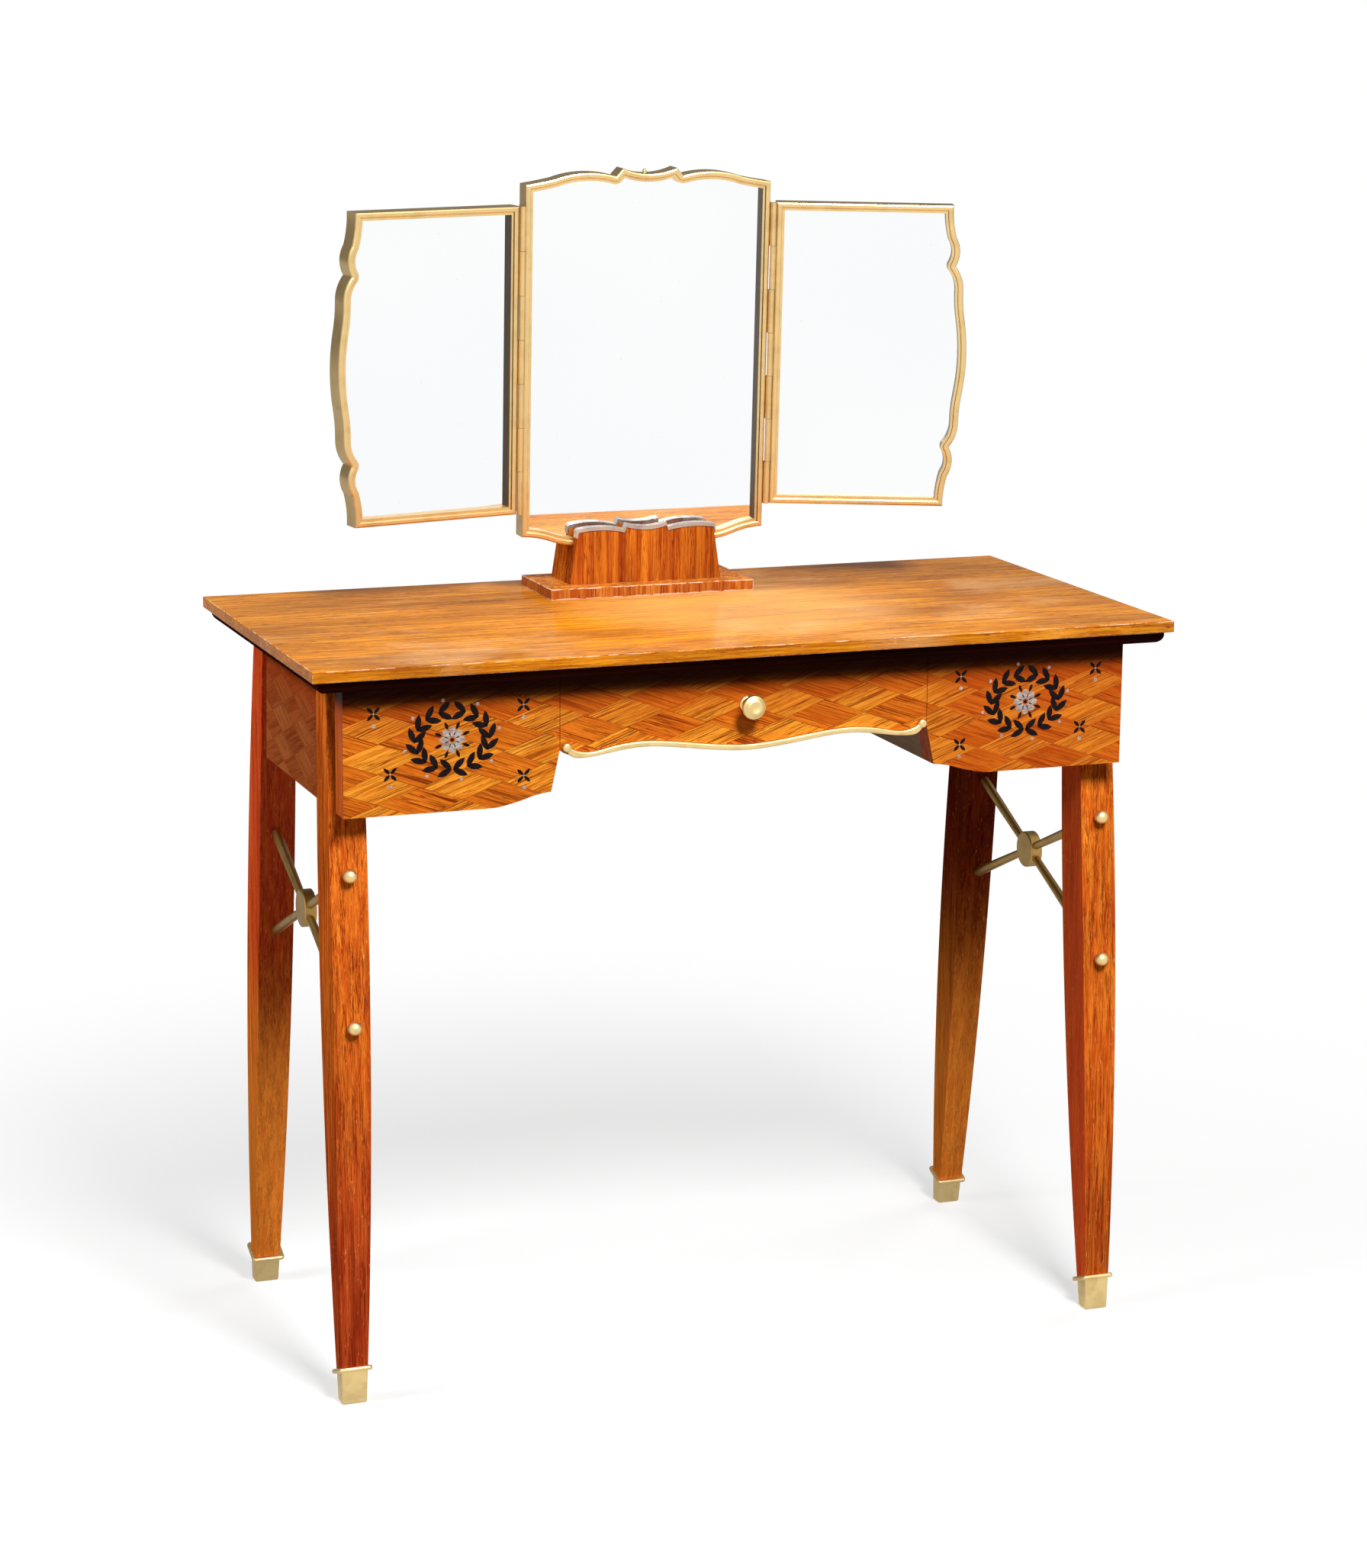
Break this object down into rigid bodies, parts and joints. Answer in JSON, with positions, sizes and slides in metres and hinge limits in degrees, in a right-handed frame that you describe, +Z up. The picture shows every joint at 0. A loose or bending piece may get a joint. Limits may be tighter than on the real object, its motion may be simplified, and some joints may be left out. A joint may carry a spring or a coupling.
{
  "type": "dressing table",
  "caption": "Dressing table on raked legs with drawers under the top, cross stretchers and a folding triple mirror on a stand.",
  "frame": {"origin": "on the floor, under the centre of the table top", "axes": "+X to the right as seen from the front, -Y towards the sitter (drawer fronts face -Y), +Z up"},
  "size_m": [0.9, 0.443, 1.1869],
  "materials": {
    "rosewood": "high gloss varnish",
    "parquetry": "high gloss varnish over lozenge parquetry",
    "dark_wood": "gloss varnish",
    "carcase_wood": "matt, unvarnished",
    "drawer_wood": "satin",
    "gilt_bronze": "worn satin gilding",
    "steel": "satin",
    "silvered_metal": "dulled silver plate",
    "mirror_glass": "polished"
  },
  "bodies": {
    "table": {"top_board": "rosewood", "leg_front_left": "rosewood", "leg_front_right": "rosewood", "leg_back_left": "rosewood", "leg_back_right": "rosewood", "end_panel_left": "parquetry", "end_panel_right": "parquetry", "moulding_front": "dark_wood", "moulding_back": "dark_wood", "moulding_ends": "dark_wood", "stand_plinth": "dark_wood", "stand_block": "dark_wood", "subtop_panel": "carcase_wood", "back_panel": "carcase_wood", "partition_left": "carcase_wood", "partition_right": "carcase_wood", "bay_bottom_left": "carcase_wood", "bay_bottom_centre": "carcase_wood", "bay_bottom_right": "carcase_wood", "drawer_guides": "carcase_wood", "drawer_stops": "carcase_wood", "mirror_back": "carcase_wood", "sabot_front_left": "gilt_bronze", "sabot_front_right": "gilt_bronze", "sabot_back_left": "gilt_bronze", "sabot_back_right": "gilt_bronze", "hub_left": "gilt_bronze", "hub_right": "gilt_bronze", "stretcher_rods_left": "gilt_bronze", "stretcher_rods_right": "gilt_bronze", "ball_nuts": "gilt_bronze", "mirror_frame": "gilt_bronze", "hinge_left_fixed": "gilt_bronze", "hinge_right_fixed": "gilt_bronze", "hinge_pins": "steel", "stand_cap": "silvered_metal", "mirror_glass": "mirror_glass"},
    "left_drawer": {"left_drawer_front": "parquetry", "left_drawer_sides": "drawer_wood", "left_drawer_back": "drawer_wood", "left_drawer_bottom": "drawer_wood"},
    "centre_drawer": {"centre_drawer_front": "parquetry", "centre_drawer_sides": "drawer_wood", "centre_drawer_back": "drawer_wood", "centre_drawer_bottom": "drawer_wood", "knob": "gilt_bronze", "knob_screw": "steel", "apron_moulding": "gilt_bronze"},
    "right_drawer": {"right_drawer_front": "parquetry", "right_drawer_sides": "drawer_wood", "right_drawer_back": "drawer_wood", "right_drawer_bottom": "drawer_wood"},
    "left_wing": {"wing_left_frame": "gilt_bronze", "wing_left_glass": "mirror_glass", "wing_left_back": "carcase_wood", "hinge_left_moving": "gilt_bronze"},
    "right_wing": {"wing_right_frame": "gilt_bronze", "wing_right_glass": "mirror_glass", "wing_right_back": "carcase_wood", "hinge_right_moving": "gilt_bronze"}
  },
  "joints": [
    {"name": "left_drawer_slide", "type": "slide", "parent": "table", "child": "left_drawer", "axis": [0, -1, 0], "range_m": [0, 0.2]},
    {"name": "centre_drawer_slide", "type": "slide", "parent": "table", "child": "centre_drawer", "axis": [0, -1, 0], "range_m": [0, 0.2]},
    {"name": "right_drawer_slide", "type": "slide", "parent": "table", "child": "right_drawer", "axis": [0, -1, 0], "range_m": [0, 0.2]},
    {"name": "left_wing_hinge", "type": "hinge", "parent": "table", "child": "left_wing", "pos_m": [-0.1372, 0.119, 0.80696], "axis": [0, -0.041, 0.9992], "range_deg": [-10.7, 167.3]},
    {"name": "right_wing_hinge", "type": "hinge", "parent": "table", "child": "right_wing", "pos_m": [0.1372, 0.119, 0.80696], "axis": [0, 0.041, -0.9992], "range_deg": [-19.1, 132.9]}
  ]
}
